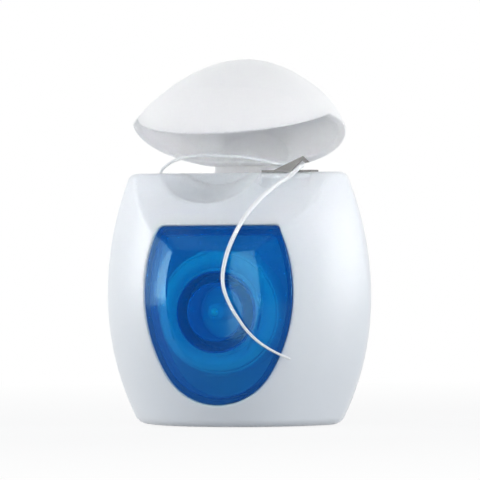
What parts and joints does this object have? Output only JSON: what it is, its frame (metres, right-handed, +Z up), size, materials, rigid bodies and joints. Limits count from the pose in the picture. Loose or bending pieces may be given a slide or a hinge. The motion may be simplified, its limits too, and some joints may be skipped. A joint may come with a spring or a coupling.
{
  "type": "dental floss dispenser",
  "caption": "Pebble-shaped dental floss dispenser with a flip-top lid, tinted window, spool, steel cutter and a length of floss pulled out.",
  "frame": {"origin": "middle of the flat base, where the case's widest plane crosses its middle plane", "axes": "+Z up, -Y the front with the window, +X to the right seen from the front"},
  "size_m": [0.0502, 0.036, 0.0672],
  "materials": {
    "white_shell": "smooth satin-gloss white with a cool tint",
    "white_lid": "smooth satin-gloss white",
    "blue_window": "clear blue tint, polished",
    "spool_plastic": "plain natural plastic",
    "floss": "waxed white thread",
    "steel": "thin spring steel, fine brushed"
  },
  "bodies": {
    "case": {"rear_shell": "white_shell", "front_shell": "white_shell", "window": "blue_window", "cutter": "steel", "hinge_strap": "white_lid", "floss_feed": "floss", "floss_strand": "floss"},
    "lid": {"lid": "white_lid"},
    "spool": {"spool": "spool_plastic", "floss_pack": "floss", "floss_turns": "floss"}
  },
  "joints": [
    {"name": "lid_hinge", "type": "hinge", "parent": "case", "child": "lid", "pos_m": [0, 0.0123, 0.0493], "axis": [-1, 0, 0], "range_deg": [-38, 92], "deforming": ["hinge_strap", "floss_strand"]},
    {"name": "spool_spin", "type": "hinge", "parent": "case", "child": "spool", "pos_m": [0, -0.00835, 0.0209], "axis": [0, -1, 0], "continuous": true}
  ]
}
